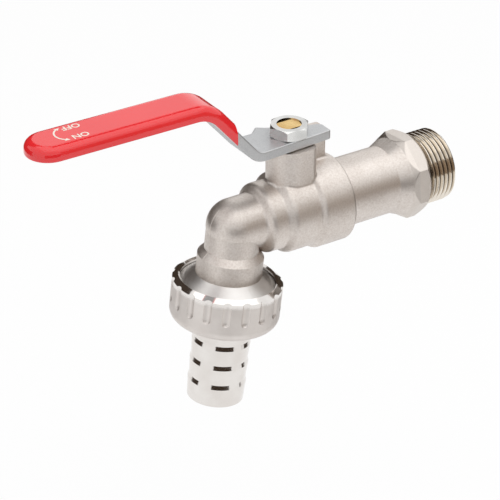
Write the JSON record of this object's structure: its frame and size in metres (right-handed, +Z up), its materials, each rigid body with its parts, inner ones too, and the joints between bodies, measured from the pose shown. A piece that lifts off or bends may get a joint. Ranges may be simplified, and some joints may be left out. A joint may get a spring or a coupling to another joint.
{
  "type": "bib tap",
  "caption": "Lever ball tap with a male threaded wall inlet, an elbowed outlet, and a ribbed hose tail held by a fluted union nut.",
  "frame": {"origin": "centre of the inlet's threaded end face", "axes": "+Y along the inlet axis towards the wall, +Z up along the stem, +X across, to the right looking at the wall"},
  "size_m": [0.0386, 0.1623, 0.1192],
  "materials": {
    "blasted_nickel": "nickel-plated brass casting, blasted to a fine satin grain",
    "turned_nickel": "nickel-plated brass, turned and bright",
    "satin_nickel": "nickel-plated brass, satin sides with a bright chamfer",
    "bare_brass": "bare turned brass",
    "chromed_ball": "polished chrome plate",
    "seat_plastic": "white seat plastic",
    "seal_rubber": "black rubber",
    "lever_steel": "matte zinc-plated steel strip",
    "grip_plastic": "glossy red dip-coated plastic",
    "nut_steel": "bright zinc-plated steel"
  },
  "bodies": {
    "body": {"tap_body": "blasted_nickel", "inlet_connector": "turned_nickel", "inlet_seat_ring": "seat_plastic", "outlet_seat_ring": "seat_plastic", "stem_thrust_washer": "seat_plastic"},
    "lever": {"lever_plate": "lever_steel", "lever_grip": "grip_plastic", "lever_nut": "nut_steel", "stem": "bare_brass", "ball": "chromed_ball", "lower_stem_o_ring": "seal_rubber", "upper_stem_o_ring": "seal_rubber"},
    "tail": {"hose_tail": "turned_nickel", "hose_gasket": "seal_rubber"},
    "nut": {"union_nut": "satin_nickel"}
  },
  "joints": [
    {"name": "lever_turn", "type": "hinge", "parent": "body", "child": "lever", "pos_m": [0, -0.0634, 0], "axis": [0, 0, -1], "range_deg": [0, 90]},
    {"name": "hose_tail_drop", "type": "slide", "parent": "body", "child": "tail", "axis": [0, -0.1248, -0.9922], "range_m": [0, 0.007]},
    {"name": "union_nut_turn", "type": "hinge", "parent": "tail", "child": "nut", "pos_m": [0, -0.08914, -0.02778], "axis": [0, -0.1248, -0.9922], "range_deg": [0, 1092]}
  ],
  "couplings": [
    {"joint": "union_nut_turn", "follows": "hose_tail_drop", "rad_per_m": 2721.2}
  ]
}
